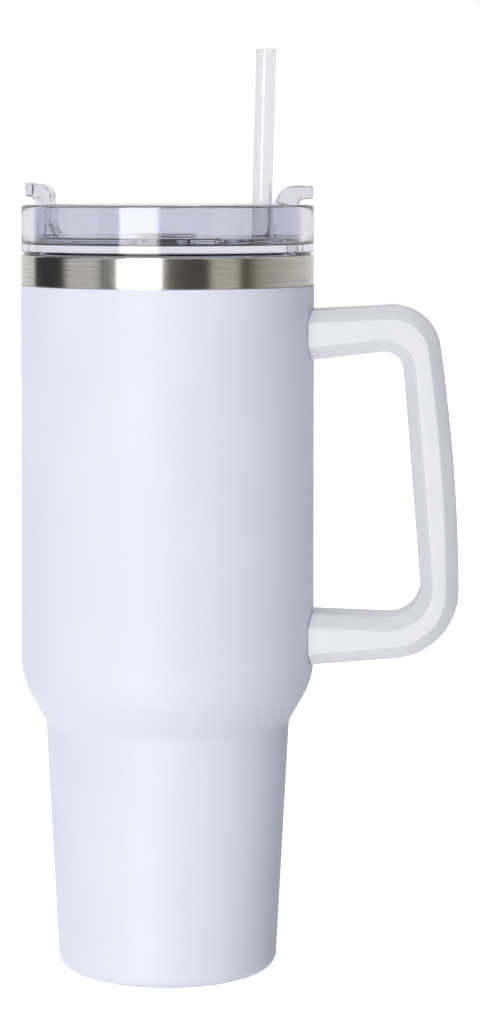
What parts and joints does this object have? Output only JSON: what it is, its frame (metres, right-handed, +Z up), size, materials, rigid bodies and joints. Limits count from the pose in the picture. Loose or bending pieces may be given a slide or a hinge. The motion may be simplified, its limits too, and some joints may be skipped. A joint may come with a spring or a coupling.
{
  "type": "insulated tumbler",
  "caption": "Double-walled steel tumbler with a shoulder, a chamfered D handle, a clear press-in lid with a turning cover, and a straw.",
  "frame": {"origin": "centre of the base, on the surface the tumbler stands on", "axes": "+Z up along the body's axis to the mouth, +X towards the handle"},
  "size_m": [0.15, 0.1, 0.3131],
  "materials": {
    "body_coat": "satin lilac powder coat",
    "brushed_steel": "fine brushing round the rim",
    "foil": "bright copper-coloured foil",
    "sealing_glass": "fused bead",
    "handle_plastic": "satin lilac moulded plastic",
    "clear_lid": "clear, faintly lilac, polished",
    "silicone": "translucent white, matt",
    "clear_straw": "clear, faintly frosted"
  },
  "bodies": {
    "vessel": {"outer_shell": "body_coat", "rim_band": "brushed_steel", "inner_liner": "brushed_steel", "reflective_foil": "foil", "bottom_plate": "brushed_steel", "seal_bead": "sealing_glass", "getter": "brushed_steel", "base_cap": "body_coat", "handle": "handle_plastic", "upper_bracket": "brushed_steel", "lower_bracket": "brushed_steel", "upper_screw": "brushed_steel", "lower_screw": "brushed_steel", "upper_screw_cover": "handle_plastic", "lower_screw_cover": "handle_plastic"},
    "lid": {"lid_body": "clear_lid", "lid_seal": "silicone", "straw_grommet": "silicone", "pivot_cap": "clear_lid"},
    "cover": {"rotating_cover": "clear_lid", "sip_seal": "silicone"},
    "straw": {"straw": "clear_straw"}
  },
  "joints": [
    {"name": "lid_lift", "type": "slide", "parent": "vessel", "child": "lid", "axis": [0, 0, 1], "range_m": [0, 0.26]},
    {"name": "cover_turn", "type": "hinge", "parent": "lid", "child": "cover", "pos_m": [0, 0, 0.2492], "axis": [0, 0, 1], "range_deg": [0, 50]},
    {"name": "straw_slide", "type": "slide", "parent": "lid", "child": "straw", "axis": [0.0267, 0, 0.9996], "range_m": [0, 0.27]}
  ]
}
